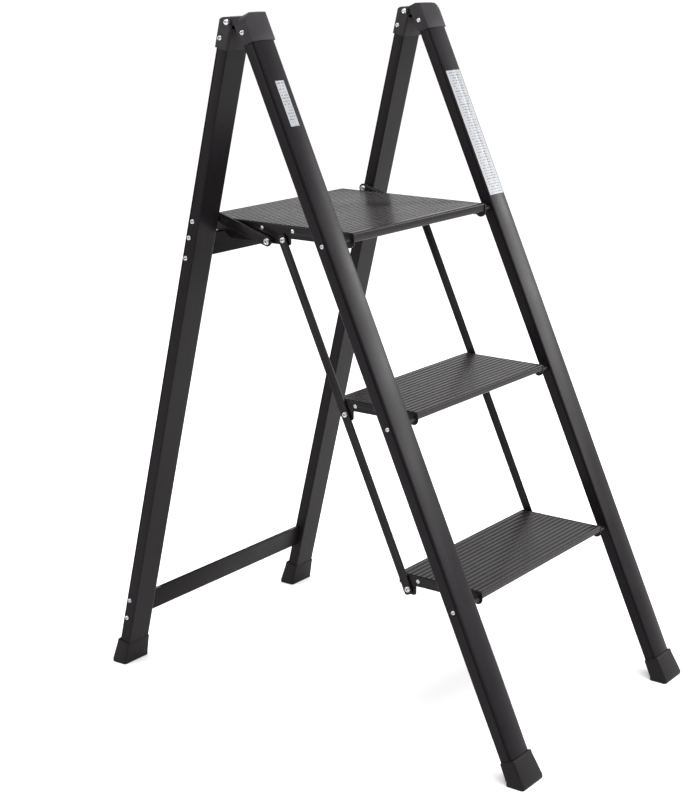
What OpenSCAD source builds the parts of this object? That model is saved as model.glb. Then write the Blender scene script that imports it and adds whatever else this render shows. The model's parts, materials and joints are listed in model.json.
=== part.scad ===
// Folding step ladder with a platform and two treads, all between its front rails.
// The rear rails hinge at the top caps. Tie straps keep the treads level with the platform,
// and a pair of link arms joins the platform to the rear rails.
// +Z is up, the climbing side faces -Y, and the origin is the centre of the footprint.

/* [Overall] */
// Height of the platform's top above the floor
platform_h = 690; // [684:1:696]
// Width over the outer faces of the rails
frame_w = 463; // [434:1:494]
// Lean of the front rails from upright, in degrees
front_lean = 24.8; // [24.5:0.1:25.1]
// Lean of the rear rails from upright, in degrees
rear_lean = 13; // [12.7:0.05:13.3]
// Height of one step, from tread to tread
tread_pitch = 230; // [226:1:234]

/* [Rails] */
// Width of a rail, across its broad face
rail_w = 44; // [42.5:0.5:45.5]
// Depth of a rail without the crown of its broad outer face
rail_t = 17.6; // [17:0.1:18.2]
// Height of the crown on the broad outer face
rail_crown = 2; // [1.5:0.1:2.5]
// Wall thickness of the rails
rail_wall = 1.8; // [1.5:0.1:2.2]
// Height of the flat cross rails between the rear rails
cross_rail_h = 34; // [33:0.5:36]
// Thickness of the flat cross rails
cross_rail_t = 7; // [6.5:0.1:7.5]

/* [Treads] */
// Depth of a tread from its nose to its rear edge
tread_depth = 132.5; // [131:0.5:135]
// Depth of the platform from its nose to its rear edge
platform_depth = 260; // [257:1:262]
// Thickness of a tread
tread_t = 10.8; // [10.4:0.1:11.4]
// Thickness of the platform
platform_t = 18; // [17:0.5:18.5]
// Distance from rib to rib on the treads and the platform
rib_pitch = 8.1; // [7.5:0.1:9]
// Depth of the grooves between the ribs
groove_d = 0.9; // [0.5:0.1:1.2]

/* [Links] */
// Width of a tie strap
strap_w = 12.9; // [12.3:0.1:13.1]
// Width of a link arm
arm_w = 14; // [12:0.5:15]
// Radius of the pins that the treads and the platform turn on
tread_pin_r = 2.7; // [2.4:0.1:3]
// Radius of the hinge pins at the top
hinge_pin_r = 3.5; // [3:0.1:3.8]

/* [Hidden] */
$fn = 48;

// Finishes
black = "#2b2b2d";
dark = "#1d1d1f";
silver = "#d9dadc";
paper = "#e9eaec";

// Radius of the crowned broad face of a rail, and the thickness of a label on it
crown_r = (rail_w * rail_w / 4 + rail_crown * rail_crown) / (2 * rail_crown);
label_t = 0.2;

// Clearances
fixed_gap = 0.05;    // around a pin that is fixed in its hole
running_gap = 0.08;  // around a pin that a part turns on
loose_gap = 0.4;     // around a pin at a pivot that closes a linkage
side_gap = 0.3;      // between parts that slide past each other
eps = 0.01;

// Levels: 0 is the platform, 1 the middle tread, 2 the lowest tread
LEVELS = [0, 1, 2];
SIDES = [-1, 1];

// Places across the width, from the centre line outwards
rail_x = frame_w / 2 - rail_w / 2;
rail_in = frame_w / 2 - rail_w;
plate_t = 2.5;
plate_out = rail_in - 18.5;
plate_in = plate_out - plate_t;
strap_t = 2.5;
strap_in = plate_out + 0.9;
arm_t = 3;
arm_in = strap_in + strap_t + 3.2;

// A tread's pivot: its depth behind the rail's front face and the deck's height above it
pivot_n = 7.6;
top_over_pivot = 9.9;
nose_y = -5;         // front of the nose, measured from the pivot

// Hinge of the rear frame, in the axes of the front rail and of the rear rail
hinge_s = 1074;
hinge_n = 29.5;
rear_hinge_n = 11;
cf = cos(front_lean);
sf = sin(front_lean);
cr = cos(rear_lean);
sr = sin(rear_lean);
hinge_z = hinge_s * cf - hinge_n * sf;
rear_hinge_s = (hinge_z + rear_hinge_n * sr) / cr;
base_span = hinge_s * sf + hinge_n * cf + rear_hinge_s * sr + rear_hinge_n * cr;

// Rails, measured along them from the floor
front_rail_start = 14;
front_rail_end = 1060;
rear_rail_start = 10;
rear_rail_end = rear_hinge_s - 10;

// Pivots of the treads, of the tie straps and of the link arms
function pivot_z(level) = platform_h - top_over_pivot - level * tread_pitch;
function pivot_s(level) = (pivot_z(level) + pivot_n * sf) / cf;
function pivot_y(level) = -base_span / 2 + pivot_s(level) * sf + pivot_n * cf;
strap_pivot = [110.6, -10.6];  // from the tread's pivot, backwards and up
strap_pin_r = 3;
arm_on_platform = [133.31, -14]; // from the platform's pivot, backwards and up
arm_on_rail = [712, 7.5];       // along the rear rail and behind its rear face
arm_pin_r = 3;
arm_rail_y = base_span / 2 - arm_on_rail[0] * sr - arm_on_rail[1] * cr;
arm_rail_z = arm_on_rail[0] * cr - arm_on_rail[1] * sr;
arm_dy = pivot_y(0) + arm_on_platform[0] - arm_rail_y;
arm_dz = pivot_z(0) + arm_on_platform[1] - arm_rail_z;
arm_len = norm([arm_dy, arm_dz]);
arm_turn = atan2(arm_dz, arm_dy);

// Cross rails, along the rear rails and behind their rear face
cross_rail_n = 5.9;
cross_screw_r = 2;
cross_screw_pitch = 30;
platform_rest_gap = 0.4;
rest_z = platform_h - platform_t - platform_rest_gap;
upper_cross_s = (rest_z + (cross_rail_n - cross_rail_t / 2) * sr) / cr - cross_rail_h / 2;
lower_cross_s = 94.4;

// Rivets
rivet_r = 2.5;
rivet_head_r = 3.6;
rivet_head_h = 2;

// ---- axes ----

// x across, y behind the front face of the front rails, z along them
module in_front() {
    translate([0, -base_span / 2, 0]) rotate([-front_lean, 0, 0]) children();
}

// x across, y ahead of the rear face of the rear rails, z along them
module in_rear() {
    translate([0, base_span / 2, 0]) mirror([0, 1, 0]) rotate([-rear_lean, 0, 0]) children();
}

module at_level(level) {
    translate([0, pivot_y(level), pivot_z(level)]) children();
}

// Children are drawn on the right, and on the left as their mirror image
module on_side(side) {
    if (side < 0) mirror([1, 0, 0]) children();
    else children();
}

// A flat outline in y and z, made solid from x = from_x to x = to_x
module across(from_x, to_x) {
    translate([from_x, 0, 0]) rotate([90, 0, 90]) linear_extrude(to_x - from_x) children();
}

// ---- shared shapes ----

module rounded_rect(size, r) {
    translate([r, 0]) square([size[0] - 2 * r, size[1]]);
    translate([0, r]) square([size[0], size[1] - 2 * r]);
    for (x = [r, size[0] - r], y = [r, size[1] - r]) translate([x, y]) circle(r);
}

// What is cut from a square corner to leave radius r, for a corner at the origin
// whose material lies towards dir
module corner_cut(r, dir) {
    difference() {
        translate([min(0, dir[0] * r), min(0, dir[1] * r)]) square(r);
        translate([dir[0] * r, dir[1] * r]) circle(r);
    }
}

module pin_along_x(r, from_x, to_x) {
    translate([from_x, 0, 0]) rotate([0, 90, 0]) cylinder(r = r, h = to_x - from_x);
}

// A low domed head with its flat side at x = 0
module dome_head(r, h) {
    ball_r = (r * r + h * h) / (2 * h);
    rotate([0, 90, 0]) intersection() {
        translate([0, 0, h - ball_r]) sphere(ball_r);
        cylinder(r = r, h = h);
    }
}

// ---- rails ----

// The outline of a rail: x across, y from the broad face (0) into the depth
module rail_outline(grow = 0) {
    w = rail_w + 2 * grow;
    intersection() {
        translate([-w / 2, -rail_crown - grow])
            rounded_rect([w, rail_t + rail_crown + 2 * grow], 1.6);
        translate([0, crown_r - rail_crown]) circle(crown_r + grow, $fn = 96);
    }
}

// The fine groove along both narrow sides, just behind the broad face
module side_grooves() {
    groove_w = 1.6;
    groove_in = 0.9;
    for (side = SIDES)
        translate([side * rail_w / 2 - groove_in, 1.4]) square([2 * groove_in, groove_w]);
}

module rail_section() {
    difference() {
        rail_outline();
        side_grooves();
        translate([-rail_w / 2 + rail_wall + 0.9, rail_wall])
            rounded_rect([rail_w - 2 * rail_wall - 1.8, rail_t - 2 * rail_wall], 1);
    }
}

module rail_bore(n, s, r) {
    translate([0, n, s]) pin_along_x(r, -rail_w / 2 - 1, rail_w / 2 + 1);
}

front_cap_rivet = [10.4, 1051.3];
rear_cap_rivet = [rear_hinge_n - 6.2, rear_hinge_s - 22.8];

module front_rail(side) {
    color(black) in_front() translate([side * rail_x, 0, 0]) difference() {
        translate([0, 0, front_rail_start])
            linear_extrude(front_rail_end - front_rail_start) rail_section();
        for (level = LEVELS) rail_bore(pivot_n, pivot_s(level), tread_pin_r + fixed_gap);
        rail_bore(front_cap_rivet[0], front_cap_rivet[1], rivet_r + fixed_gap);
    }
}

module rear_rail(side) {
    color(black) in_rear() translate([side * rail_x, 0, 0]) difference() {
        translate([0, 0, rear_rail_start])
            linear_extrude(rear_rail_end - rear_rail_start) rail_section();
        rail_bore(arm_on_rail[1], arm_on_rail[0], arm_pin_r + fixed_gap);
        rail_bore(rear_cap_rivet[0], rear_cap_rivet[1], rivet_r + fixed_gap);
        for (s = [lower_cross_s, upper_cross_s], step = SIDES)
            rail_bore(cross_rail_n, s + step * cross_screw_pitch / 2, cross_screw_r + fixed_gap);
    }
}

// ---- feet ----

foot_rim_s = 39.5;
foot_rim_out = 2.6;
foot_sole_out = 4.4;
foot_toe_out = 5.2;

// One moulded boot: local axes as the rail's, with the sole on the floor
module foot(lean, rail_start, back_out) {
    sole_y0 = -foot_toe_out;
    sole_y1 = (rail_t + back_out) / cos(lean);
    difference() {
        hull() {
            rotate([-lean, 0, 0]) translate([-rail_w / 2 - foot_rim_out, -rail_crown - 2, foot_rim_s - 6])
                linear_extrude(6)
                rounded_rect([rail_w + 2 * foot_rim_out, rail_t + rail_crown + 3.2], 3, $fn = 32);
            translate([-rail_w / 2 - foot_sole_out, sole_y0, 0]) linear_extrude(5)
                rounded_rect([rail_w + 2 * foot_sole_out, sole_y1 - sole_y0], 4, $fn = 32);
        }
        rotate([-lean, 0, 0]) translate([0, 0, rail_start - fixed_gap])
            linear_extrude(foot_rim_s) rail_outline(grow = fixed_gap);
    }
}

module front_foot(side) {
    color(dark) translate([side * rail_x, -base_span / 2, 0])
        foot(front_lean, front_rail_start, 2.4);
}

module rear_foot(side) {
    color(dark) translate([side * rail_x, base_span / 2, 0]) mirror([0, 1, 0])
        foot(rear_lean, rear_rail_start, 3);
}

// ---- top hinge ----

cap_half_w = rail_w / 2 + 2.3;
front_cap_bottom = 1034.5;
front_cap_top = 1077.7;
cap_wall = 1.2;
front_cap_front = -rail_crown - cap_wall;
front_cap_back = 20.4;
front_cap_level = hinge_z + 12.6;
front_cap_level_n = (front_cap_top * cf - front_cap_level) / sf;
tongue_half_w = cap_half_w - 3.4;
tongue_r = 7;
tongue_top_r = 12;
cap_top_r = 15;
cap_shoulder = front_cap_top - 4.8;
rear_cap_bottom_drop = 36.5;
rear_cap_back = -rail_crown - cap_wall;
rear_cap_front = 19.3;
rear_cap_top = 6;
rear_cap_top_r = 12.5;

// Section of a cap's sleeve, with the rail's crown on its broad face
module cap_section(front, back) {
    intersection() {
        translate([-cap_half_w, front]) rounded_rect([2 * cap_half_w, back - front], 3);
        translate([0, crown_r - rail_crown]) circle(crown_r + cap_wall, $fn = 96);
    }
}

// Side view of a front cap: level at the top in front, and square to the rail behind that
module front_cap_side() {
    lead = (front_cap_level + front_cap_front * sf) / cf;
    polygon([[front_cap_front, front_cap_bottom], [front_cap_back, front_cap_bottom],
             [front_cap_back, front_cap_top], [front_cap_level_n, front_cap_top],
             [front_cap_front + 2.32, lead + 1.07], [front_cap_front + 0.63, lead - 0.4],
             [front_cap_front, lead - 2.56]]);
}

// Cap on a front rail: a sleeve with rounded top corners, and a tongue that carries the hinge pin
module front_hinge_cap(side) {
    color(dark) in_front() translate([side * rail_x, 0, 0]) difference() {
        union() {
            intersection() {
                across(-cap_half_w, cap_half_w) difference() {
                    front_cap_side();
                    translate([front_cap_back, front_cap_bottom]) corner_cut(11, [-1, 1]);
                }
                translate([0, front_cap_front - 1, 0]) rotate([-90, 0, 0])
                    linear_extrude(front_cap_back - front_cap_front + 2) mirror([0, 1]) difference() {
                    translate([-cap_half_w, front_cap_bottom])
                        square([2 * cap_half_w, front_cap_top - front_cap_bottom]);
                    translate([-side * cap_half_w, front_cap_top]) corner_cut(2.5, [side, -1]);
                    translate([side * cap_half_w, cap_shoulder]) corner_cut(cap_top_r, [-side, -1]);
                    polygon([[side * (cap_half_w + 1), cap_shoulder],
                             [side * (cap_half_w - cap_top_r), cap_shoulder],
                             [side * (cap_half_w - cap_top_r - 10), front_cap_top],
                             [side * (cap_half_w - cap_top_r - 10), front_cap_top + 1],
                             [side * (cap_half_w + 1), front_cap_top + 1]]);
                }
                translate([0, 0, front_cap_bottom]) linear_extrude(front_cap_top - front_cap_bottom)
                    cap_section(front_cap_front, front_cap_back);
            }
            intersection() {
                across(-tongue_half_w, tongue_half_w) {
                    translate([hinge_n, hinge_s]) circle(tongue_r);
                    polygon([[front_cap_back - 3, hinge_s - tongue_r], [hinge_n, hinge_s - tongue_r],
                             [hinge_n, hinge_s + tongue_r - 0.2], [front_cap_back - 3, front_cap_top - 2]]);
                }
                translate([0, front_cap_back - 5, 0]) rotate([-90, 0, 0])
                    linear_extrude(30) mirror([0, 1]) translate([-tongue_half_w, hinge_s - 60])
                    rounded_rect([2 * tongue_half_w, 60 + tongue_r + 1], tongue_top_r);
            }
        }
        linear_extrude(front_rail_end + fixed_gap) rail_outline(grow = fixed_gap);
        translate([0, hinge_n, hinge_s]) pin_along_x(hinge_pin_r + running_gap, -30, 30);
        translate([0, front_cap_rivet[0], front_cap_rivet[1]])
            pin_along_x(rivet_r + fixed_gap, -30, 30);
    }
}

// Cap on a rear rail: a sleeve with a slot at the top for the front cap's tongue
module rear_hinge_cap(side) {
    color(dark) in_rear() translate([side * rail_x, 0, 0]) difference() {
        intersection() {
            across(-cap_half_w, cap_half_w) {
                translate([rear_cap_back, rear_hinge_s - rear_cap_bottom_drop])
                    square([rear_cap_front - rear_cap_back, rear_cap_bottom_drop - 3]);
                difference() {
                    translate([rear_cap_back, rear_hinge_s - 12])
                        square([rear_hinge_n - rear_cap_back, 12 + rear_cap_top]);
                    translate([rear_cap_back, rear_hinge_s + rear_cap_top])
                        corner_cut(rear_cap_top_r, [1, -1]);
                }
                translate([rear_hinge_n, rear_hinge_s]) circle(rear_cap_top);
            }
            translate([0, 0, rear_hinge_s - rear_cap_bottom_drop]) linear_extrude(60)
                cap_section(rear_cap_back, rear_cap_front);
        }
        translate([0, 0, rear_hinge_s - 90])
            linear_extrude(80 + fixed_gap) rail_outline(grow = fixed_gap);
        across(-tongue_half_w - side_gap, tongue_half_w + side_gap) {
            translate([rear_hinge_n, rear_hinge_s]) circle(tongue_r + side_gap);
            translate([rear_hinge_n, rear_hinge_s - tongue_r - side_gap]) square([20, 40]);
            translate([rear_hinge_n - 3, rear_hinge_s]) square([20, 40]);
        }
        translate([0, rear_hinge_n, rear_hinge_s]) pin_along_x(hinge_pin_r + fixed_gap, -30, 30);
        translate([0, rear_cap_rivet[0], rear_cap_rivet[1]])
            pin_along_x(rivet_r + fixed_gap, -30, 30);
    }
}

// A rivet or pin right through one rail and its cap, with a head on each side
module through_rivet(r, head_r) {
    pin_along_x(r, -cap_half_w, cap_half_w);
    for (side = SIDES) on_side(side) translate([cap_half_w, 0, 0]) dome_head(head_r, rivet_head_h);
}

module front_cap_rivets() {
    color(silver) for (side = SIDES) in_front()
        translate([side * rail_x, front_cap_rivet[0], front_cap_rivet[1]])
        through_rivet(rivet_r, rivet_head_r);
}

module rear_cap_rivets() {
    color(silver) for (side = SIDES) in_rear()
        translate([side * rail_x, rear_cap_rivet[0], rear_cap_rivet[1]])
        through_rivet(rivet_r, rivet_head_r);
}

module hinge_pins() {
    color(silver) for (side = SIDES) in_rear()
        translate([side * rail_x, rear_hinge_n, rear_hinge_s]) through_rivet(hinge_pin_r, 4.2);
}

// ---- cross rails ----

module cross_rail(s) {
    color(black) in_rear() translate([0, cross_rail_n, s])
        across(-rail_in, rail_in) difference() {
            translate([-cross_rail_t / 2, -cross_rail_h / 2])
                rounded_rect([cross_rail_t, cross_rail_h], 1.2);
            translate([-cross_rail_t / 2 + 1.5, -cross_rail_h / 4])
                square([cross_rail_t - 3, cross_rail_h / 2]);
            for (step = SIDES) translate([0, step * cross_screw_pitch / 2])
                circle(cross_screw_r + fixed_gap);
        }
}

module cross_rail_screws() {
    screw_in = 25;
    color(silver)
    for (side = SIDES, s = [lower_cross_s, upper_cross_s], step = SIDES)
        in_rear() translate([0, cross_rail_n, s + step * cross_screw_pitch / 2]) on_side(side) {
            pin_along_x(cross_screw_r, rail_in - screw_in, frame_w / 2);
            translate([frame_w / 2, 0, 0]) dome_head(rivet_head_r, rivet_head_h);
        }
}

// ---- treads and platform ----

groove_w = 3.6;
deck_wall = 1.8;
plain_nose = 5.5;

function deck_depth(level) = level == 0 ? platform_depth : tread_depth;
function deck_t(level) = level == 0 ? platform_t : tread_t;

// The extruded section of a deck: y back from the pivot, z up
module deck_section(level) {
    depth = deck_depth(level);
    t = deck_t(level);
    top = top_over_pivot;
    nose_rise = level == 0 ? 5.6 : 0.6;
    rib_room = depth - plain_nose - 4;
    grooves = floor(rib_room / rib_pitch);
    first = nose_y + plain_nose + (rib_room - grooves * rib_pitch) / 2;
    rooms = level == 0 ? 7 : 3;
    solid_nose = level == 0 ? 38 : 19;
    room_start = nose_y + solid_nose;
    room_w = (depth - solid_nose - deck_wall) / rooms;
    difference() {
        translate([nose_y, top - t]) square([depth, t]);
        translate([nose_y, top]) corner_cut(2.5, [1, -1]);
        translate([nose_y, top - t])
            polygon([[-1, -1], [6 * nose_rise + 2, -1], [6 * nose_rise + 2, 0], [2, nose_rise],
                     [0.6, nose_rise + 0.5], [0, nose_rise + 2], [-1, nose_rise + 2]]);
        translate([nose_y + depth, top]) corner_cut(2, [-1, -1]);
        translate([nose_y + depth, top - t]) corner_cut(2, [-1, 1]);
        for (i = [0:grooves])
            translate([first + i * rib_pitch, top - groove_d]) square([groove_w, 2 * groove_d]);
        for (i = [0:rooms - 1])
            translate([room_start + i * room_w, top - t + deck_wall])
                square([room_w - deck_wall, t - 2 * deck_wall - groove_d]);
        for (y = plate_rivet_y(level)) translate([y, plate_rivet_z]) circle(rivet_r + fixed_gap);
    }
    for (y = plate_rivet_y(level)) translate([y, plate_rivet_z]) difference() {
        circle(rivet_r + 2.7);
        circle(rivet_r + fixed_gap);
    }
}

plate_rivet_z = 2.6;
function plate_rivet_y(level) = level == 0 ? [96, 148.8] : [96];

module deck(level) {
    color(black) at_level(level) across(-plate_in, plate_in) deck_section(level);
}

// The plate on each end of a deck. It carries the pivots.
module end_plate_outline(level) {
    top = top_over_pivot - 0.8;
    bottom = level == 0 ? top_over_pivot - platform_t : -4.8;
    knuckle_r = level == 0 ? 8.3 : 6.9;
    knuckle = level == 0 ? [1.6, -2.6] : [1.2, -1.2];
    lead = knuckle[0] - knuckle_r;
    plate_end = nose_y + deck_depth(level) - 1;
    ear_y = 99.6;
    ear_w = level == 0 ? 115.9 : 21.4;
    ear_bottom = level == 0 ? -17.6 : -18.3;
    ear_slope = 9;
    translate(knuckle) circle(knuckle_r);
    difference() {
        translate([lead, knuckle[1]]) square([20, top - knuckle[1]]);
        translate([lead, top]) corner_cut(3, [1, -1]);
    }
    translate([0, bottom]) square([plate_end, top - bottom]);
    difference() {
        translate([ear_y, ear_bottom]) square([ear_w, top - ear_bottom]);
        translate([ear_y, ear_bottom]) corner_cut(3, [1, 1]);
        if (level == 0)
            translate([ear_y + ear_w, ear_bottom])
                polygon([[-ear_slope - 2, -eps], [eps, -eps], [eps, ear_slope]]);
        else
            translate([ear_y + ear_w, ear_bottom]) corner_cut(7, [-1, 1]);
    }
}

module end_plate(level, side) {
    color(black) at_level(level) on_side(side) difference() {
        union() {
            across(plate_in, plate_out) end_plate_outline(level);
            if (level == 0) translate([0, arm_on_platform[0], arm_on_platform[1]])
                pin_along_x(arm_boss_r, plate_out - eps, arm_in - side_gap);
        }
        across(plate_in - 1, plate_out + 1) {
            circle(tread_pin_r + running_gap);
            translate(strap_pivot) circle(strap_pin_r + fixed_gap);
            for (y = plate_rivet_y(level)) translate([y, plate_rivet_z]) circle(rivet_r + fixed_gap);
        }
    }
}

arm_boss_r = 4.4;

// Rivets from each end plate into the round channels of the deck
module deck_rivets(level) {
    rivet_in = 14;
    color(silver) at_level(level) for (side = SIDES, y = plate_rivet_y(level)) on_side(side)
        translate([0, y, plate_rivet_z]) {
            pin_along_x(rivet_r, plate_out - rivet_in, plate_out);
            translate([plate_out, 0, 0]) dome_head(3.2, strap_in - plate_out - side_gap);
        }
}

// Pins from the rail's outer face through the rail and the spacer into the end plate
module pivot_pins(level) {
    color(silver) at_level(level) for (side = SIDES) on_side(side) {
        pin_along_x(tread_pin_r, plate_in + side_gap, frame_w / 2);
        translate([frame_w / 2, 0, 0]) dome_head(4.3, rivet_head_h);
    }
}

module pivot_spacers() {
    spacer_r = tread_pin_r + 0.9;
    color(dark) for (level = LEVELS, side = SIDES) at_level(level) on_side(side) difference() {
        pin_along_x(spacer_r, plate_out + side_gap, rail_in);
        pin_along_x(tread_pin_r + fixed_gap, plate_out, rail_in + 1);
    }
}

// ---- tie straps ----

strap_reach = 2 * tread_pitch / cf;
strap_end = 7.6;

module tie_strap(side) {
    color(black) at_level(2) on_side(side)
        translate([0, strap_pivot[0], strap_pivot[1]]) rotate([-front_lean, 0, 0])
        across(strap_in, strap_in + strap_t) difference() {
            translate([0.65 - strap_w / 2, -strap_end])
                rounded_rect([strap_w, strap_reach + 2 * strap_end], 4.5);
            for (z = [0, strap_reach / 2]) translate([0, z]) circle(strap_pin_r + loose_gap);
            translate([0, strap_reach]) circle(strap_pin_r + running_gap);
        }
}

// Pins of the tie straps, fixed in the end plates of one deck
module strap_pins(level) {
    color(silver) at_level(level) for (side = SIDES) on_side(side)
        translate([0, strap_pivot[0], strap_pivot[1]]) {
            pin_along_x(strap_pin_r, plate_in, strap_in + strap_t + side_gap);
            translate([strap_in + strap_t + side_gap, 0, 0]) dome_head(4.3, 2.2);
        }
}

// ---- link arms ----

module link_arm(side) {
    color(black) on_side(side)
        translate([0, arm_rail_y, arm_rail_z]) rotate([arm_turn, 0, 0])
        across(arm_in, arm_in + arm_t) difference() {
            union() {
                translate([0, -arm_w / 2]) square([arm_len, arm_w]);
                for (y = [0, arm_len]) translate([y, 0]) circle(arm_w / 2);
            }
            circle(arm_pin_r + running_gap);
            translate([arm_len, 0]) circle(arm_pin_r + fixed_gap);
        }
}

// Pin on the rear rail that a link arm turns on, with a head on each side
module arm_rail_pin(side) {
    collar_r = 5;
    color(silver) on_side(side) translate([0, arm_rail_y, arm_rail_z]) {
        pin_along_x(arm_pin_r, arm_in - side_gap, frame_w / 2);
        translate([frame_w / 2, 0, 0]) dome_head(rivet_head_r, rivet_head_h);
        translate([arm_in - side_gap, 0, 0]) mirror([1, 0, 0]) dome_head(4.3, rivet_head_h);
        pin_along_x(collar_r, arm_in + arm_t + side_gap, rail_in);
    }
}

// Large screw in the free end of a link arm
module arm_end_screw(side) {
    color(silver) on_side(side) translate([0, arm_rail_y + arm_dy, arm_rail_z + arm_dz]) {
        pin_along_x(arm_pin_r, arm_in, arm_in + arm_t);
        translate([arm_in + arm_t, 0, 0]) dome_head(5, 3);
    }
}

// ---- labels ----

// A thin blank label on the crowned face of a front rail
module rail_label(side, width, from_s, to_s) {
    color(paper) in_front() translate([side * rail_x, 0, from_s])
        linear_extrude(to_s - from_s) intersection() {
            translate([-width / 2, -rail_crown - 1]) square([width, rail_crown + 2]);
            translate([0, crown_r - rail_crown]) difference() {
                circle(crown_r + 0.05 + label_t, $fn = 96);
                circle(crown_r + 0.05, $fn = 96);
            }
        }
}

front_rail(-1);  // left_front_rail
front_rail(1);  // right_front_rail
front_foot(-1);  // left_front_foot
front_foot(1);  // right_front_foot
front_hinge_cap(-1);  // left_front_hinge_cap
front_hinge_cap(1);  // right_front_hinge_cap
front_cap_rivets();
pivot_pins(0);  // platform_pivot_pins
pivot_pins(1);  // mid_tread_pivot_pins
pivot_pins(2);  // low_tread_pivot_pins
pivot_spacers();
rail_label(-1, 18, 914.6, 978);  // left_rail_label
rail_label(1, 37.6, 769.4, 966);  // right_rail_label
rear_rail(-1);  // left_rear_rail
rear_rail(1);  // right_rear_rail
rear_foot(-1);  // left_rear_foot
rear_foot(1);  // right_rear_foot
rear_hinge_cap(-1);  // left_rear_hinge_cap
rear_hinge_cap(1);  // right_rear_hinge_cap
rear_cap_rivets();
hinge_pins();
cross_rail(upper_cross_s);  // upper_cross_rail
cross_rail(lower_cross_s);  // lower_cross_rail
cross_rail_screws();
arm_rail_pin(-1);  // left_arm_rail_pin
arm_rail_pin(1);  // right_arm_rail_pin
deck(0);  // platform_deck
end_plate(0, -1);  // platform_left_side_plate
end_plate(0, 1);  // platform_right_side_plate
deck_rivets(0);  // platform_rivets
strap_pins(0);  // platform_strap_pins
deck(1);  // mid_tread_deck
end_plate(1, -1);  // mid_tread_left_end_plate
end_plate(1, 1);  // mid_tread_right_end_plate
deck_rivets(1);  // mid_tread_rivets
strap_pins(1);  // mid_tread_strap_pins
deck(2);  // low_tread_deck
end_plate(2, -1);  // low_tread_left_end_plate
end_plate(2, 1);  // low_tread_right_end_plate
deck_rivets(2);  // low_tread_rivets
strap_pins(2);  // low_tread_strap_pins
tie_strap(-1);  // left_tie_strap
tie_strap(1);  // right_tie_strap
link_arm(-1);  // left_link_arm
link_arm(1);  // right_link_arm
arm_end_screw(-1);  // left_arm_end_screw
arm_end_screw(1);  // right_arm_end_screw
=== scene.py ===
import json
import math

import bmesh
import bpy
from mathutils import Matrix, Vector


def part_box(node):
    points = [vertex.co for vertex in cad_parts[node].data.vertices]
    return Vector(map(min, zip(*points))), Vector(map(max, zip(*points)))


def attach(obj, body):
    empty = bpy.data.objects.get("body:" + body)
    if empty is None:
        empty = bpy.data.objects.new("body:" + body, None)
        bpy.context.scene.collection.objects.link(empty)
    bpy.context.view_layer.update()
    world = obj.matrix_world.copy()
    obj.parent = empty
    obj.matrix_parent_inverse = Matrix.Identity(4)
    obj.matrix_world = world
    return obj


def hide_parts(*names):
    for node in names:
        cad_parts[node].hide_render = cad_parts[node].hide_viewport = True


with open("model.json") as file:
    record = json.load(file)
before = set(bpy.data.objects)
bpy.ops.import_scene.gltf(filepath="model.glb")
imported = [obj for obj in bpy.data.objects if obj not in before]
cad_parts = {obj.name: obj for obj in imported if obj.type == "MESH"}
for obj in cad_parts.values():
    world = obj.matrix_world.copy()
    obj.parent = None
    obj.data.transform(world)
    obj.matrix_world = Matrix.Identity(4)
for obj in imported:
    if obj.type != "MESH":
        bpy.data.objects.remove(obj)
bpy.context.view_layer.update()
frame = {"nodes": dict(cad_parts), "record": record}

# ---- Front rails ----
# Two aluminium extrusions with a crowned broad face and a fine groove along each narrow side.
# They are sawn to length, coated black and stand parallel, leaning back to the hinges.

pins = {joint["name"]: Vector(joint["pos_m"]) for joint in frame["record"]["behaviour"]["joints"]}
step = pins["mid_tread_fold"] - pins["low_tread_fold"]
FRONT_LEAN = math.atan2(step.y, step.z)
FOLD = math.radians(frame["record"]["behaviour"]["joints"][0]["range_deg"][1])
REAR_LEAN = FOLD - FRONT_LEAN

RAIL_WIDTH = 0.044
RAIL_DEPTH = 0.0176
RAIL_CROWN = 0.002
PIVOT_DEPTH = 0.0076
low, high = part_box("right_front_rail")
RAIL_X = (low.x + high.x) / 2
RAIL_OUT = RAIL_X + RAIL_WIDTH / 2
RAIL_IN = RAIL_X - RAIL_WIDTH / 2

pivot = pins["low_tread_fold"]
pivot_along = (pivot.z + PIVOT_DEPTH * math.sin(FRONT_LEAN)) / math.cos(FRONT_LEAN)
HALF_SPAN = pivot_along * math.sin(FRONT_LEAN) + PIVOT_DEPTH * math.cos(FRONT_LEAN) - pivot.y

# Axes of a rail: x across, y behind its broad face, z along it from the floor
FRONT = Matrix.Translation((0, -HALF_SPAN, 0)) @ Matrix.Rotation(-FRONT_LEAN, 4, "X")
REAR = (Matrix.Translation((0, HALF_SPAN, 0)) @ Matrix.Diagonal((1, -1, 1, 1))
        @ Matrix.Rotation(-REAR_LEAN, 4, "X"))
SIDES = {"left": -1, "right": 1}


def block(name, low, high):
    """Start a piece as a block from one corner to the other, and open it in edit mode."""
    bpy.ops.object.select_all(action="DESELECT")
    low, high = Vector(low), Vector(high)
    bpy.ops.mesh.primitive_cube_add(size=1, location=(low + high) / 2, scale=high - low)
    bpy.ops.object.transform_apply(location=True, rotation=True, scale=True)
    piece = bpy.context.object
    piece.name = piece.data.name = name
    bpy.ops.object.mode_set(mode="EDIT")
    return piece


def pick(kind, test):
    """Select the vertices, edges or faces of the open piece whose middle passes the test."""
    bpy.ops.mesh.select_mode(type=kind)
    bpy.ops.mesh.select_all(action="DESELECT")
    mesh = bpy.context.edit_object.data
    shape = bmesh.from_edit_mesh(mesh)
    if kind == "VERT":
        for vert in shape.verts:
            vert.select = bool(test(vert.co))
    elif kind == "EDGE":
        for edge in shape.edges:
            one, two = edge.verts[0].co, edge.verts[1].co
            edge.select = bool(test((one + two) / 2, (two - one).normalized()))
    else:
        for face in shape.faces:
            face.select = bool(test(face.calc_center_median(), face.normal))
    shape.select_flush_mode()
    bmesh.update_edit_mesh(mesh)


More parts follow.
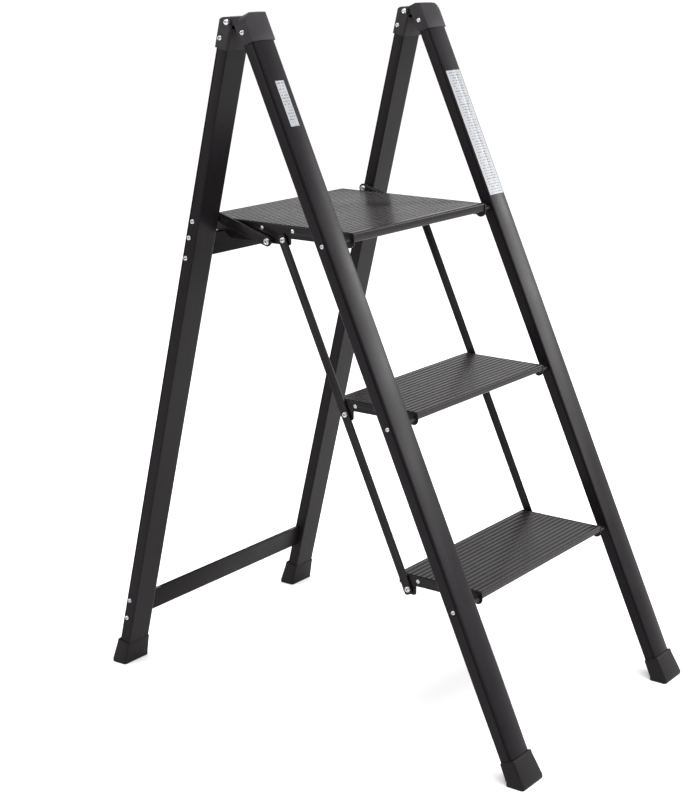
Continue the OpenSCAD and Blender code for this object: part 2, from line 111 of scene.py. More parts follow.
def cut(place, normal):
    """Cut the whole open piece along a plane, and keep both halves."""
    bpy.ops.mesh.select_mode(type="VERT")
    bpy.ops.mesh.select_all(action="SELECT")
    bpy.ops.mesh.bisect(plane_co=place, plane_no=normal)


def push(step):
    """Extrude the selected faces by a step."""
    bpy.ops.mesh.extrude_region_move(TRANSFORM_OT_translate={"value": step})


def near(value, target, slack=0.0002):
    return abs(value - target) < slack


def round_edges(test, radius, segments=3):
    pick("EDGE", test)
    bpy.ops.mesh.bevel(offset=radius, segments=segments, affect="EDGES", clamp_overlap=True)


def close_up(piece, smooth=35):
    """Leave edit mode, with even normals and soft shading across gentle angles."""
    bpy.ops.mesh.select_all(action="SELECT")
    bpy.ops.mesh.remove_doubles(threshold=1e-6)
    bpy.ops.mesh.normals_make_consistent(inside=False)
    bpy.ops.object.mode_set(mode="OBJECT")
    bpy.ops.object.shade_smooth_by_angle(angle=math.radians(smooth))
    return piece


def copy_at(piece, name, place):
    """A copy with its own mesh, set in its place in the ladder."""
    mesh = piece.data.copy()
    mesh.transform(place)
    if place.determinant() < 0:
        mesh.flip_normals()
    twin = bpy.data.objects.new(name, mesh)
    mesh.name = name
    bpy.context.scene.collection.objects.link(twin)
    return twin


def discard(piece):
    bpy.data.meshes.remove(piece.data)


def hand_over(piece, body, slot, finish, *nodes):
    """Paint a piece, hang it on the body it rides on, and hide the CAD nodes it stands for."""
    piece.data.materials.clear()
    piece.data.materials.append(finish)
    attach(piece, body)
    if nodes:
        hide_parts(*nodes)
    return piece


class Wire:
    """An output in a material's nodes that arithmetic can be written on."""

    def __init__(self, paint, socket):
        self.paint = paint
        self.socket = socket

    def sum_of(self, operation, *values):
        return self.paint.node("ShaderNodeMath", {"operation": operation}, dict(enumerate(values)))

    def __add__(self, other):
        return self.sum_of("ADD", self, other)

    def __sub__(self, other):
        return self.sum_of("SUBTRACT", self, other)

    def __rsub__(self, other):
        return self.sum_of("SUBTRACT", other, self)

    def __mul__(self, other):
        return self.sum_of("MULTIPLY", self, other)

    def __truediv__(self, other):
        return self.sum_of("DIVIDE", self, other)

    def __gt__(self, other):
        return self.sum_of("GREATER_THAN", self, other)

    def __lt__(self, other):
        return self.sum_of("LESS_THAN", self, other)

    def __mod__(self, other):
        return self.sum_of("FLOORED_MODULO", self, other)

    __radd__ = __add__
    __rmul__ = __mul__


class Paint:
    """A material with its shader, and one way to add any other node to it."""

    def __init__(self, name, colour, roughness, **settings):
        self.material = bpy.data.materials.new(name)
        self.material.use_nodes = True
        self.tree = self.material.node_tree
        self.shader = self.tree.nodes["Principled BSDF"]
        self.set("Base Color", colour)
        self.set("Roughness", roughness)
        for key, value in settings.items():
            self.set(key.replace("_", " ").title().replace("Ior", "IOR"), value)

    def node(self, kind, settings=None, values=None, output=0):
        made = self.tree.nodes.new(kind)
        for key, value in (settings or {}).items():
            setattr(made, key, value)
        for key, value in (values or {}).items():
            self.join(made.inputs[key], value)
        return Wire(self, made.outputs[output])

    def join(self, socket, value):
        if isinstance(value, Wire):
            self.tree.links.new(value.socket, socket)
        else:
            socket.default_value = value

    def set(self, name, value):
        self.join(self.shader.inputs[name], value)

    def place(self, turn=(0, 0, 0), stretch=(1, 1, 1)):
        """Object coordinates, turned and then stretched."""
        spot = self.node("ShaderNodeTexCoord", output="Object")
        turned = self.node("ShaderNodeMapping", None, {"Vector": spot, "Rotation": turn})
        return self.node("ShaderNodeVectorMath", {"operation": "MULTIPLY"},
                         {0: turned, 1: stretch})

    def noise(self, place, scale, detail=3, roughness=0.55):
        return self.node("ShaderNodeTexNoise", None,
                         {"Vector": place, "Scale": scale, "Detail": detail,
                          "Roughness": roughness})

    def mix(self, factor, first, second):
        return self.node("ShaderNodeMix", {"data_type": "RGBA"},
                         {0: factor, 6: first, 7: second}, output=2)

    def band(self, value, start, end, low=0.0, high=1.0):
        """Value between start and end, as a number from low to high."""
        return self.node("ShaderNodeMapRange", None,
                         {"Value": value, "From Min": start, "From Max": end,
                          "To Min": low, "To Max": high})

    def bump(self, height, distance, strength=1.0):
        self.set("Normal", self.node("ShaderNodeBump", None,
                                     {"Height": height, "Distance": distance,
                                      "Strength": strength}))


def coated_extrusion(name, turn, stretch, colour, worn, roughness, gloss=0.075, relief=0.6):
    """Black coat over extruded aluminium: die lines along the section, dust, handling wear."""
    paint = Paint(name, colour, roughness, specular_ior_level=gloss)
    lines = paint.noise(paint.place(turn, stretch), 1.0, detail=4)
    cloud = paint.noise(paint.place(turn), 9.0, detail=5)
    specks = paint.noise(paint.place(turn), 700.0, detail=2)
    wear = paint.band(cloud, 0.45, 0.75) * paint.band(specks, 0.5, 0.72)
    streaks = paint.band(lines, 0.3, 0.7) * 0.25
    paint.set("Base Color", paint.mix(wear * 0.5 + streaks, colour, worn))
    paint.set("Roughness", paint.band(cloud, 0.3, 0.7, roughness - 0.05, roughness + 0.06)
              + paint.band(lines, 0.3, 0.7, -0.03, 0.03))
    paint.bump(lines * 0.7 + specks * 0.3, 0.00004, relief)
    return paint.material


DIE_LINES = 1400
DIE_LINE_STRETCH = 5
RAIL_BLACK = (0.0048, 0.0036, 0.0046, 1)
RAIL_WORN = (0.016, 0.0135, 0.015, 1)
front_rail_finish = coated_extrusion("front rail black", (FRONT_LEAN, 0, 0),
                                     (DIE_LINES, DIE_LINES, DIE_LINE_STRETCH),
                                     RAIL_BLACK, RAIL_WORN, 0.31)

GROOVE_START = 0.0014
GROOVE_END = 0.0030
GROOVE_IN = 0.0009
CORNER = 0.0016
COLUMNS = 12


def rail(start, end):
    """One rail in its own axes, with its broad face towards -y."""
    half = RAIL_WIDTH / 2
    crown_radius = (half * half + RAIL_CROWN ** 2) / (2 * RAIL_CROWN)
    piece = block("rail", (-half, 0, start), (half, RAIL_DEPTH, end))
    for column in range(1, COLUMNS):
        cut((RAIL_WIDTH * column / COLUMNS - half, 0, 0), (1, 0, 0))
    for column in range(COLUMNS // 2):
        place = RAIL_WIDTH * column / COLUMNS
        rise = math.sqrt(crown_radius ** 2 - place ** 2) - crown_radius + RAIL_CROWN
        pick("VERT", lambda spot: near(abs(spot.x), place) and near(spot.y, 0))
        bpy.ops.transform.translate(value=(0, -rise, 0))
    for depth in (GROOVE_START, GROOVE_END):
        cut((0, depth, 0), (0, 1, 0))
    middle = (GROOVE_START + GROOVE_END) / 2
    for side in SIDES.values():
        pick("FACE", lambda spot, out: near(spot.y, middle) and out.x * side > 0.9)
        push((-side * GROOVE_IN, 0, 0))
    round_edges(lambda spot, way: near(abs(spot.x), half) and abs(way.z) > 0.9
                and (near(spot.y, RAIL_DEPTH) or near(spot.y, 0)), CORNER)
    return close_up(piece)


FRONT_RAIL_START = 0.014
FRONT_RAIL_END = 1.060
model = rail(FRONT_RAIL_START, FRONT_RAIL_END)
for side, sign in SIDES.items():
    node = side + "_front_rail"
    place = FRONT @ Matrix.Translation((sign * RAIL_X, 0, 0))
    hand_over(copy_at(model, node + "_piece", place), "front_frame",
              "rail_aluminium", front_rail_finish, node)
discard(model)

# ---- Rear rails ----
# The same extrusion, shorter, turned about so that the broad face looks backwards.
# They are drilled for the cross rails' screws and for the link arms' pins.

hinge = pins["rear_frame_fold"]
HINGE_ALONG = (REAR.inverted() @ hinge).z
REAR_RAIL_START = 0.010
RAIL_BELOW_HINGE = 0.010
rear_rail_finish = coated_extrusion("rear rail black", (-REAR_LEAN, 0, 0),
                                    (DIE_LINES, DIE_LINES, DIE_LINE_STRETCH),
                                    RAIL_BLACK, RAIL_WORN, 0.33)
model = rail(REAR_RAIL_START, HINGE_ALONG - RAIL_BELOW_HINGE)
for side, sign in SIDES.items():
    node = side + "_rear_rail"
    place = REAR @ Matrix.Translation((sign * RAIL_X, 0, 0))
    hand_over(copy_at(model, node + "_piece", place), "rear_frame",
              "rail_aluminium", rear_rail_finish, node)
discard(model)

# ---- Feet ----
# Moulded boots pushed over the rail ends. Each flares from an upright rim down to a wide
# flat sole, with soft corners, and is held by its own grip on the rail.


def moulded(name, colour, dusty, roughness, grain, depth, gloss=0.2):
    """Matte moulded plastic with a fine spark-eroded grain and a little dust."""
    paint = Paint(name, colour, roughness, specular_ior_level=gloss)
    spot = paint.place()
    grit = paint.noise(spot, grain, detail=3, roughness=0.7)
    cloud = paint.noise(spot, 28.0, detail=4)
    dust = paint.band(cloud, 0.42, 0.75) * paint.band(grit, 0.4, 0.7)
    paint.set("Base Color", paint.mix(dust * 0.6, colour, dusty))
    paint.set("Roughness", paint.band(cloud, 0.3, 0.7, roughness - 0.06, roughness + 0.08))
    paint.bump(grit, depth, 0.7)
    return paint.material


boot_finish = moulded("boot rubber", (0.0056, 0.0045, 0.0050, 1), (0.020, 0.018, 0.019, 1),
                      roughness=0.5, grain=1500, depth=0.00012, gloss=0.1)

RIM_ALONG = 0.0395
RIM_TALL = 0.006
RIM_OUT = 0.0026
RIM_FRONT = 0.002
RIM_BACK = 0.0012
MOUTH_DEPTH = 0.003
MOUTH_WALL = 0.0003
SIDE_ROUND = 0.0032
SOLE_ROUND = 0.0014
RIM_ROUND = 0.0021
HEELS = {"front": 0.0024, "rear": 0.003}
SOLE_OUT = 0.0044
TOE_OUT = 0.0052
SOLE_TALL = 0.005


def boot(lean, heel_out):
    """One boot, with the floor at z = 0 and the rail's broad face at y = 0."""
    half = RAIL_WIDTH / 2
    turn = Matrix.Rotation(-lean, 4, "X")
    sole_back = (RAIL_DEPTH + heel_out) / math.cos(lean)
    piece = block("boot", (-half - SOLE_OUT, -TOE_OUT, 0), (half + SOLE_OUT, sole_back, SOLE_TALL))
    rim_front, rim_back = -RAIL_CROWN - RIM_FRONT, RAIL_DEPTH + RIM_BACK
    for level in (RIM_ALONG - RIM_TALL, RIM_ALONG):
        pick("FACE", lambda spot, out: out.z > 0.5 and spot.z > SOLE_TALL - 1e-4)
        push((0, 0, RIM_ALONG))
        shape = bmesh.from_edit_mesh(bpy.context.edit_object.data)
        corners = sorted((vert for vert in shape.verts if vert.select),
                         key=lambda vert: vert.co.y)
        for vert, depth in zip(corners, (rim_front, rim_front, rim_back, rim_back)):
            side = math.copysign(half + RIM_OUT, vert.co.x)
            vert.co = turn @ Vector((side, depth, level))
        bmesh.update_edit_mesh(bpy.context.edit_object.data)
    round_edges(lambda spot, way: abs(way.z) > 0.7 and abs(spot.x) > half, SIDE_ROUND, 4)
    round_edges(lambda spot, way: near(spot.z, 0, 1e-4), SOLE_ROUND, 3)
    top = turn @ Vector((0, RAIL_DEPTH / 2, RIM_ALONG))
    up = turn @ Vector((0, 0, 1))
    round_edges(lambda spot, way: near((spot - top).dot(up), 0, 1e-4)
                and abs(way.dot(up)) < 0.1, RIM_ROUND, 4)
    pick("FACE", lambda spot, out: out.dot(up) > 0.99 and (spot - top).dot(up) > -0.0005)
    bpy.ops.mesh.inset(thickness=MOUTH_WALL)
    push(up * -MOUTH_DEPTH)
    return close_up(piece, 40)


FLOOR = {"front": Matrix.Translation((0, -HALF_SPAN, 0)),
         "rear": Matrix.Translation((0, HALF_SPAN, 0)) @ Matrix.Diagonal((1, -1, 1, 1))}
for end, lean in (("front", FRONT_LEAN), ("rear", REAR_LEAN)):
    model = boot(lean, HEELS[end])
    for side, sign in SIDES.items():
        node = f"{side}_{end}_foot"
        place = FLOOR[end] @ Matrix.Translation((sign * RAIL_X, 0, 0))
        hand_over(copy_at(model, node + "_piece", place), end + "_frame",
                  "foot_plastic", boot_finish, node)
    discard(model)

# ---- Hinge caps ----
# Moulded caps on the tops of the rails. The front cap's tongue turns in the rear cap's slot
# on the hinge pin, and a rivet through each cap holds it on its rail.

cap_finish = moulded("cap plastic", (0.0190, 0.0172, 0.0188, 1), (0.042, 0.039, 0.041, 1),
                     roughness=0.44, grain=1300, depth=0.00010, gloss=0.08)


def softened(node, name, width, segments=2, angle=32, smooth=35):
    """A merged copy of a CAD node with its sharp edges broken, as its own piece."""
    bpy.ops.object.select_all(action="DESELECT")
    mesh = frame["nodes"][node].data.copy()
    mesh.name = name
    piece = bpy.data.objects.new(name, mesh)
    bpy.context.scene.collection.objects.link(piece)
    bpy.context.view_layer.objects.active = piece
    piece.select_set(True)
    bpy.ops.object.mode_set(mode="EDIT")
    bpy.ops.mesh.select_mode(type="VERT")
    bpy.ops.mesh.select_all(action="SELECT")
    bpy.ops.mesh.remove_doubles(threshold=2e-6)
    bpy.ops.mesh.dissolve_limited(angle_limit=math.radians(1.0))
    bpy.ops.object.mode_set(mode="OBJECT")
    if width:
        bevel = piece.modifiers.new("broken edges", "BEVEL")
        bevel.width = width
        bevel.segments = segments
        bevel.limit_method = "ANGLE"
        bevel.angle_limit = math.radians(angle)
        bpy.ops.object.modifier_apply(modifier=bevel.name)
    bpy.ops.object.shade_smooth_by_angle(angle=math.radians(smooth))
    return piece


CAP_SOFTNESS = 0.0011
for side in SIDES:
    for end in ("front", "rear"):
        node = f"{side}_{end}_hinge_cap"
        cap = softened(node, node + "_piece", CAP_SOFTNESS, segments=3, angle=20, smooth=60)
        hand_over(cap, end + "_frame", "cap_plastic", cap_finish, node)

# ---- Cross rails ----
# Two flat aluminium tubes between the rear rails. The platform rests on the upper one.

cross_rail_finish = coated_extrusion("cross rail black", (0, 0, 0),
                                     (DIE_LINE_STRETCH, DIE_LINES, DIE_LINES),
                                     RAIL_BLACK, RAIL_WORN, 0.38)
CROSS_RAIL_SOFTNESS = 0.0003
for node in ("upper_cross_rail", "lower_cross_rail"):
    hand_over(softened(node, node + "_piece", CROSS_RAIL_SOFTNESS), "rear_frame",
              "rail_aluminium", cross_rail_finish, node)

# ---- Decks ----
# The platform and both treads are wide ribbed aluminium extrusions, sawn to length,
# with a rounded nose, non-slip ribs along the top and open pans between webs underneath.

# Pivot, depth from nose to back, thickness, and rise of the underside at the nose
DECKS = {
    "platform": (pins["platform_fold"], 0.260, 0.018, 0.0056),
    "mid_tread": (pins["mid_tread_fold"], 0.1325, 0.0108, 0.0006),
    "low_tread": (pins["low_tread_fold"], 0.1325, 0.0108, 0.0006),
}
NOSE = -0.005
DECK_TOP = 0.0099
PLAIN_NOSE = 0.0055
PLAIN_BACK = 0.004
RIB_PITCH = 0.0081
GROOVE_WIDTH = 0.0036
GROOVE_DEPTH = 0.0005
PAN_DEPTH = 0.002
WEB_HALF = 0.003
WEB_IN = 0.004
RIB_ROUND = 0.0004
NOSE_TOP_ROUND = 0.0025
NOSE_LOW_ROUND = 0.0018
BACK_ROUND = 0.0012

deck_finish = coated_extrusion("deck black", (0, 0, 0), (6, 1600, 1600),
                               (0.0120, 0.0104, 0.0106, 1), (0.021, 0.0188, 0.0186, 1),
                               0.23, gloss=0.085, relief=0.05)


def deck(depth, thick, nose_rise, half):
    """One deck about its pivot, with its ribs along x."""
    back = NOSE + depth
    piece = block("deck", (-half, NOSE, DECK_TOP - thick), (half, back, DECK_TOP))
    room = depth - PLAIN_NOSE - PLAIN_BACK
    count = int(room / RIB_PITCH)
    first = NOSE + PLAIN_NOSE + (room - count * RIB_PITCH) / 2
    grooves = [first + spot * RIB_PITCH for spot in range(count + 1)]
    for start in grooves:
        cut((0, start, 0), (0, 1, 0))
        cut((0, start + GROOVE_WIDTH, 0), (0, 1, 0))
    middles = [start + GROOVE_WIDTH / 2 for start in grooves]
    pick("FACE", lambda spot, out: out.z > 0.9 and any(near(spot.y, middle) for middle in middles))
    push((0, 0, -GROOVE_DEPTH))
    round_edges(lambda spot, way: abs(way.x) > 0.9 and near(spot.z, DECK_TOP, 1e-4)
                and NOSE + 0.001 < spot.y < back - 0.001, RIB_ROUND, 2)
    slope = 6 * nose_rise + 0.002
    columns = [NOSE] + [start + extra for start in grooves for extra in (0, GROOVE_WIDTH)]
    for column in columns:
        rise = nose_rise * (1 - (column - NOSE) / slope)
        if rise > 0:
            pick("VERT", lambda spot: near(spot.y, column) and near(spot.z, DECK_TOP - thick))
            bpy.ops.transform.translate(value=(0, 0, rise))
    webs = [NOSE + slope + WEB_IN, back - WEB_IN]
    webs += [webs[0] + (webs[1] - webs[0]) * part / 3 for part in (1, 2)]
    pick("FACE", lambda spot, out: out.z < -0.9 and webs[0] < spot.y < webs[1]
         and all(abs(spot.y - web) > WEB_HALF for web in webs))
    push((0, 0, PAN_DEPTH))
    round_edges(lambda spot, way: abs(way.x) > 0.9 and near(spot.y, NOSE)
                and spot.z > 0, NOSE_TOP_ROUND, 4)
    round_edges(lambda spot, way: abs(way.x) > 0.9 and near(spot.y, NOSE)
                and spot.z < 0, NOSE_LOW_ROUND, 3)
    round_edges(lambda spot, way: abs(way.x) > 0.9 and near(spot.y, back), BACK_ROUND, 2)
    return close_up(piece, 30)


low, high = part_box("mid_tread_deck")
DECK_HALF = high.x
for body, (place, depth, thick, nose_rise) in DECKS.items():
    model = deck(depth, thick, nose_rise, DECK_HALF)
    hand_over(copy_at(model, body + "_deck_piece", Matrix.Translation(place)),
              body, "tread_aluminium", deck_finish, body + "_deck")
    discard(model)

# ---- End plates, tie straps and link arms ----
# Stamped steel, powder coated black. A plate closes each end of a deck and carries its pivots,
# the straps keep the decks parallel, and the arms tie the platform to the rear rails.


def powder_coat(name, colour, worn, roughness):
    """Powder coat with a faint orange peel and bare steel showing through in specks."""
    paint = Paint(name, colour, roughness, specular_ior_level=0.11)
    spot = paint.place()
    peel = paint.noise(spot, 420.0, detail=2)
    cloud = paint.noise(spot, 16.0, detail=5)
    paint.set("Base Color", paint.mix(paint.band(cloud, 0.5, 0.8) * 0.5, colour, worn))
    paint.set("Roughness", paint.band(cloud, 0.3, 0.7, roughness - 0.05, roughness + 0.08))
    paint.bump(peel, 0.00006, 0.6)
    return paint.material


link_finish = powder_coat("link powder coat", (0.0058, 0.0046, 0.0054, 1),
                          (0.016, 0.014, 0.015, 1), 0.38)
LINK_SOFTNESS = 0.00045
plates = [(f"platform_{side}_side_plate", "platform") for side in SIDES]
plates += [(f"{tread}_{side}_end_plate", tread)
           for tread in ("mid_tread", "low_tread") for side in SIDES]
links = [(f"{side}_tie_strap", f"{side}_tie_strap") for side in SIDES]
links += [(f"{side}_link_arm", f"{side}_link_arm") for side in SIDES]
for node, body in plates + links:
    hand_over(softened(node, node + "_piece", LINK_SOFTNESS), body, "painted_links",
              link_finish, node)

# ---- Rivets, pins and screws ----
# Zinc plated steel. Each is turned with a low domed head and a hollow centre,
# as a tubular rivet is after it is set.


def bright_zinc(name):
    paint = Paint(name, (0.42, 0.42, 0.43, 1), 0.26, metallic=1.0)
    spot = paint.place()
    fine = paint.noise(spot, 900.0, detail=3)
    cloud = paint.noise(spot, 120.0, detail=3)
    paint.set("Base Color", paint.mix(paint.band(cloud, 0.35, 0.75), (0.44, 0.44, 0.45, 1),
                                      (0.24, 0.24, 0.25, 1)))
    paint.set("Roughness", paint.band(cloud, 0.3, 0.7, 0.18, 0.34))
    paint.bump(fine, 0.00005, 0.5)
    return paint.material


zinc_finish = bright_zinc("zinc plate")
SLOT_TURN = math.radians(40)
SLOT_HALF = 0.0008
SLOT_REACH = 0.01


def turned(name, outline, vertices=28):
    """A turned piece along z: rings of the outline's (radius, height), from bottom to top."""
    bpy.ops.object.select_all(action="DESELECT")
    radius, height = outline[0]
    bpy.ops.mesh.primitive_circle_add(vertices=vertices, radius=radius, fill_type="NGON",
                                      location=(0, 0, height))
    bpy.ops.object.transform_apply(location=True, rotation=True, scale=True)
    piece = bpy.context.object
    piece.name = piece.data.name = name
    bpy.ops.object.mode_set(mode="EDIT")
    bpy.ops.mesh.select_mode(type="FACE")
    bpy.ops.mesh.select_all(action="SELECT")
    for next_radius, next_height in outline[1:]:
        push((0, 0, next_height - height))
        bpy.ops.transform.resize(value=(next_radius / radius, next_radius / radius, 1))
        radius, height = next_radius, next_height
    return close_up(piece, 40)


def headed(shank, start, head, tall, hollow=0.34):
    """The outline of a pin from start up to its head, whose flat side is at height 0."""
    return [(shank * 0.85, start), (shank, start + 0.0003), (shank, 0),
            (head * 0.97, 0), (head, tall * 0.18), (head * 0.93, tall * 0.5),
            (head * 0.78, tall * 0.8), (head * 0.58, tall * 0.97),
            (head * 0.46, tall), (head * hollow, tall * 0.9), (head * hollow * 0.8, tall * 0.1)]


def slotted(piece, tall):
    """Mill a screwdriver slot across the top of a turned head."""
    cutter = block("cutter", (-SLOT_HALF, -SLOT_REACH, tall * 0.45),
                   (SLOT_HALF, SLOT_REACH, tall * 2))
    bpy.ops.transform.rotate(value=SLOT_TURN, orient_axis="Z", center_override=(0, 0, 0))
    close_up(cutter)
    bpy.ops.object.select_all(action="DESELECT")
    bpy.context.view_layer.objects.active = piece
    piece.select_set(True)
    milled = piece.modifiers.new("slot", "BOOLEAN")
    milled.object = cutter
    bpy.ops.object.modifier_apply(modifier=milled.name)
    discard(cutter)
    return piece


def outwards(sign, spot):
    """The place of a turned piece whose head looks away from the middle of the ladder."""
    return Matrix.Translation(spot) @ Matrix.Rotation(sign * math.pi / 2, 4, "Y")


def joined(name, parts):
    """Several copies as one piece."""
    bpy.ops.object.select_all(action="DESELECT")
    for part in parts:
        part.select_set(True)
    bpy.context.view_layer.objects.active = parts[0]
    if len(parts) > 1:
        bpy.ops.object.join()
    parts[0].name = parts[0].data.name = name
    return parts[0]


def centre(node):
    low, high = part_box(node)
    return (low + high) / 2


def set_pins(node, body, spots, outline):
    """Pins of one outline at spots of (sign, place), as the piece for a CAD node."""
    model = turned("pin", outline)
    parts = [copy_at(model, "pin part", outwards(sign, spot)) for sign, spot in spots]
    discard(model)
    return hand_over(joined(node + "_piece", parts), body, "fasteners", zinc_finish, node)


CAP_HALF = RAIL_WIDTH / 2 + 0.0023
GAP = 0.0003
SCREW_HEAD = 0.0036
HEAD_TALL = 0.002
for node, body, shank, head in (("front_cap_rivets", "front_frame", 0.0025, SCREW_HEAD),
                                ("rear_cap_rivets", "rear_frame", 0.0025, SCREW_HEAD),
                                ("hinge_pins", "rear_frame", 0.0035, 0.0042)):
    middle = centre(node)
    spots = []
    for sign in SIDES.values():
        for face in (-1, 1):
            spots.append((face, Vector((sign * RAIL_X + face * CAP_HALF, middle.y, middle.z))))
    set_pins(node, body, spots, headed(shank, -CAP_HALF, head, HEAD_TALL))

PLATE_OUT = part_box("mid_tread_right_end_plate")[1].x
STRAP_PIN_HEAD = 0.0043
STRAP_PIN_TALL = 0.0022
RIVET_IN = 0.0032
for tread in DECKS:
    place = pins[tread + "_fold"]
    spots = [(sign, Vector((sign * RAIL_OUT, place.y, place.z))) for sign in SIDES.values()]
    set_pins(tread + "_pivot_pins", "front_frame", spots,
             headed(0.0027, DECK_HALF + GAP - RAIL_OUT, 0.0032, 0.0018, 0.3))
    low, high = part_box(tread + "_strap_pins")
    middle = (low + high) / 2
    head_at = high.x - STRAP_PIN_TALL
    spots = [(sign, Vector((sign * head_at, middle.y, middle.z))) for sign in SIDES.values()]
    set_pins(tread + "_strap_pins", tread, spots,
             headed(0.003, DECK_HALF - head_at, STRAP_PIN_HEAD, STRAP_PIN_TALL))
    low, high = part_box(tread + "_rivets")
    rows = [low.y + RIVET_IN]
    if high.y - low.y > 0.01:
        rows.append(high.y - RIVET_IN)
    spots = [(sign, Vector((sign * PLATE_OUT, row, (low.z + high.z) / 2)))
             for sign in SIDES.values() for row in rows]
    set_pins(tread + "_rivets", tread, spots, headed(0.0022, -0.014, 0.0028, 0.0006, 0.4))

CROSS_SCREW_HALF_PITCH = 0.015
CROSS_SCREW_REACH = 0.025
spots = []
for node in ("upper_cross_rail", "lower_cross_rail"):
    middle = REAR.inverted() @ centre(node)
    for step_along in (-CROSS_SCREW_HALF_PITCH, CROSS_SCREW_HALF_PITCH):
        for sign in SIDES.values():
            spots.append((sign, REAR @ Vector((sign * RAIL_OUT, middle.y, middle.z + step_along))))
set_pins("cross_rail_screws", "rear_frame", spots,
         headed(0.002, RAIL_IN - CROSS_SCREW_REACH - RAIL_OUT, SCREW_HEAD, HEAD_TALL))

ARM_PIN = 0.003
ARM_COLLAR = 0.005
ARM_SCREW_TALL = 0.003
for side, sign in SIDES.items():
    node = side + "_arm_rail_pin"
    middle = centre(node)
    low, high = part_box(side + "_link_arm")
    arm_in, arm_out = sorted((abs(low.x), abs(high.x)))
    collar = arm_out + GAP - RAIL_OUT
    outer = turned("outer", [(ARM_PIN, arm_in - GAP - RAIL_OUT), (ARM_PIN, collar),
                             (ARM_COLLAR, collar), (ARM_COLLAR, RAIL_IN - RAIL_OUT),
                             (ARM_PIN, RAIL_IN - RAIL_OUT)]
                   + headed(ARM_PIN, 0, SCREW_HEAD, HEAD_TALL)[2:])
    inner = turned("inner", headed(ARM_PIN, -0.001, STRAP_PIN_HEAD, HEAD_TALL))
    outer_spot = Vector((sign * RAIL_OUT, middle.y, middle.z))
    inner_spot = Vector((sign * (arm_in - GAP), middle.y, middle.z))
    parts = [copy_at(outer, "outer part", outwards(sign, outer_spot)),
             copy_at(inner, "inner part", outwards(-sign, inner_spot))]
    discard(outer)
    discard(inner)
    hand_over(joined(node + "_piece", parts), "rear_frame", "fasteners", zinc_finish, node)
    node = side + "_arm_end_screw"
    middle = centre(node)
    screw = turned("screw", headed(ARM_PIN, arm_in - arm_out, 0.005, ARM_SCREW_TALL, 0.3))
    screw = slotted(screw, ARM_SCREW_TALL)
    place = outwards(sign, Vector((sign * arm_out, middle.y, middle.z)))
    hand_over(copy_at(screw, node + "_piece", place), side + "_link_arm",
              "fasteners", zinc_finish, node)
    discard(screw)

# ---- Pivot spacers ----
# Short moulded tubes that keep the decks clear of the rails.

spacer_finish = moulded("spacer nylon", (0.0060, 0.0055, 0.0060, 1), (0.02, 0.019, 0.02, 1),
                        roughness=0.4, grain=1500, depth=0.00006, gloss=0.1)
SPACER_OUT = 0.0036
SPACER_EDGE = 0.0004
SPACER_LONG = RAIL_IN - PLATE_OUT - GAP
model = turned("spacer", [(SPACER_OUT - SPACER_EDGE, 0), (SPACER_OUT, SPACER_EDGE),
                          (SPACER_OUT, SPACER_LONG - SPACER_EDGE),
                          (SPACER_OUT - SPACER_EDGE, SPACER_LONG)])
parts = [copy_at(model, "spacer part",
                 outwards(sign, Vector((sign * (PLATE_OUT + GAP), pins[tread + "_fold"].y,
                                        pins[tread + "_fold"].z))))
         for tread in DECKS for sign in SIDES.values()]
discard(model)
hand_over(joined("pivot_spacers_piece", parts), "front_frame", "spacer_plastic",
          spacer_finish, "pivot_spacers")

# ---- Labels ----
# Printed film stuck on the crowned faces of the front rails, with plain grey rows for the print.


FILM_PALE = (0.255, 0.262, 0.275, 1)
FILM_GREY = (0.05, 0.055, 0.065, 1)
ROW_PITCH = 0.0042
DASH_PITCH = 0.0017


def printed_film(name, middle_x, width):
    """Pale film with rows of short grey dashes, which stand for small print."""
    paint = Paint(name, FILM_PALE, 0.4, specular_ior_level=0.25)
    turned_spot = paint.place((FRONT_LEAN, 0, 0))
    split = paint.node("ShaderNodeSeparateXYZ", None, {0: turned_spot})
    across = split - middle_x
    along = Wire(paint, split.socket.node.outputs[2])
    row = (along % ROW_PITCH) / ROW_PITCH
    ink_row = (row > 0.35) * (row < 0.72)
    number = paint.node("ShaderNodeMath", {"operation": "FLOOR"}, {0: along / ROW_PITCH})
    column = paint.node("ShaderNodeMath", {"operation": "FLOOR"}, {0: across / DASH_PITCH})
    key = paint.node("ShaderNodeCombineXYZ", None, {0: column, 1: number})
    dash = paint.node("ShaderNodeTexWhiteNoise", None, {"Vector": key})
    inside = paint.node("ShaderNodeMath", {"operation": "ABSOLUTE"}, {0: across})
    inside = inside < width * 0.38
    ink = ink_row * (dash > 0.3) * inside
    paint.set("Base Color", paint.mix(ink * 0.75, FILM_PALE, FILM_GREY))
    paint.set("Roughness", paint.band(paint.noise(turned_spot, 200.0), 0.3, 0.7, 0.3, 0.42))
    return paint.material


for side, sign in SIDES.items():
    node = side + "_rail_label"
    low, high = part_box(node)
    film = printed_film(side + " label film", (low.x + high.x) / 2, high.x - low.x)
    hand_over(softened(node, node + "_piece", 0), "front_frame", "label", film, node)

# ---- Studio ----
# A plain pale floor, a white surround and large soft lights.

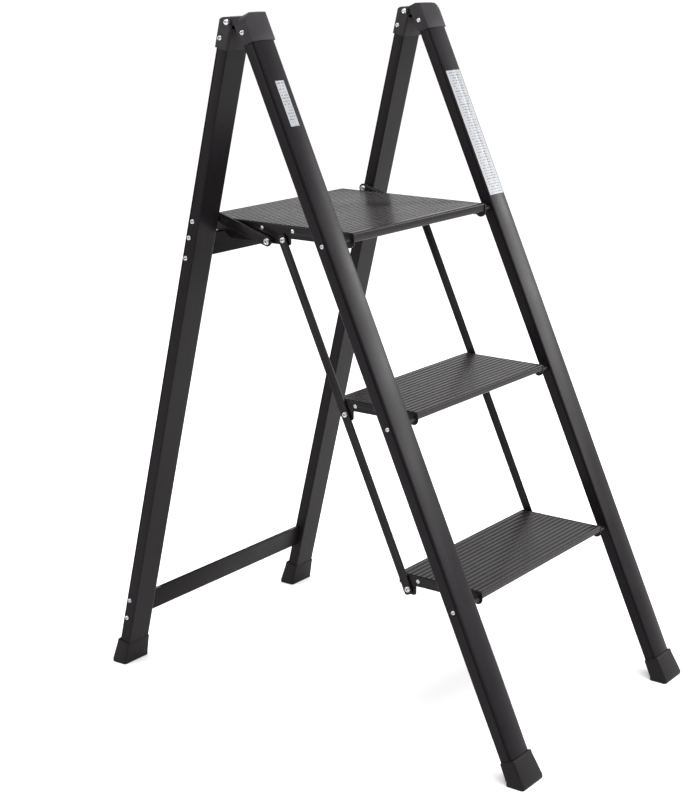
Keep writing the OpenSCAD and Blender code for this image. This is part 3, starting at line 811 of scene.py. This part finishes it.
scene = bpy.context.scene
scene.view_settings.view_transform = "Standard"
bpy.ops.object.select_all(action="DESELECT")
bpy.ops.mesh.primitive_plane_add(size=40, location=(0, 0, 0))
floor = bpy.context.object
floor.name = "studio_floor"
floor_paint = Paint("studio floor", (0.96, 0.96, 0.96, 1), 0.9)
floor.data.materials.append(floor_paint.material)

world = bpy.data.worlds.new("studio white")
scene.world = world
world.use_nodes = True
world.node_tree.nodes["Background"].inputs["Color"].default_value = (1, 1, 1, 1)
world.node_tree.nodes["Background"].inputs["Strength"].default_value = 1.06


def soft_light(name, spot, aim, size, power):
    data = bpy.data.lights.new(name, "AREA")
    data.shape = "RECTANGLE"
    data.size, data.size_y = size
    data.energy = power
    lamp = bpy.data.objects.new(name, data)
    scene.collection.objects.link(lamp)
    lamp.location = spot
    lamp.rotation_euler = (Vector(aim) - Vector(spot)).to_track_quat("-Z", "Y").to_euler()


# Name, place, aim, size and power of each light
soft_light("overhead softbox", (0.0, -0.6, 3.4), (0, 0, 0.5), (3.0, 3.0), 130)
soft_light("rear fill softbox", (-2.3, 1.7, 1.2), (0, 0, 0.85), (1.2, 0.7), 22)
soft_light("side softbox", (2.45, -1.95, 1.42), (0.2, -0.1, 0.6), (2.5, 0.7), 64)

camera_data = bpy.data.cameras.new("camera")
camera = bpy.data.objects.new("camera", camera_data)
scene.collection.objects.link(camera)
CAMERA_AZIMUTH = math.radians(-54.277)
CAMERA_HEIGHT_ANGLE = math.radians(14.843)
CAMERA_ROLL = math.radians(0.195)
CAMERA_DISTANCE = 2.6103
CAMERA_TARGET = Vector((-0.0191, 0.08854, 0.41266))
away = Vector((math.sin(CAMERA_AZIMUTH) * math.cos(CAMERA_HEIGHT_ANGLE),
               -math.cos(CAMERA_AZIMUTH) * math.cos(CAMERA_HEIGHT_ANGLE),
               math.sin(CAMERA_HEIGHT_ANGLE)))
camera.location = CAMERA_TARGET + away * CAMERA_DISTANCE
look = (-away).to_track_quat("-Z", "Y").to_matrix() @ Matrix.Rotation(CAMERA_ROLL, 3, "Z")
camera.rotation_euler = look.to_euler()
camera_data.lens = 80.09
camera_data.sensor_width = 36
camera_data.clip_end = 100
scene.camera = camera
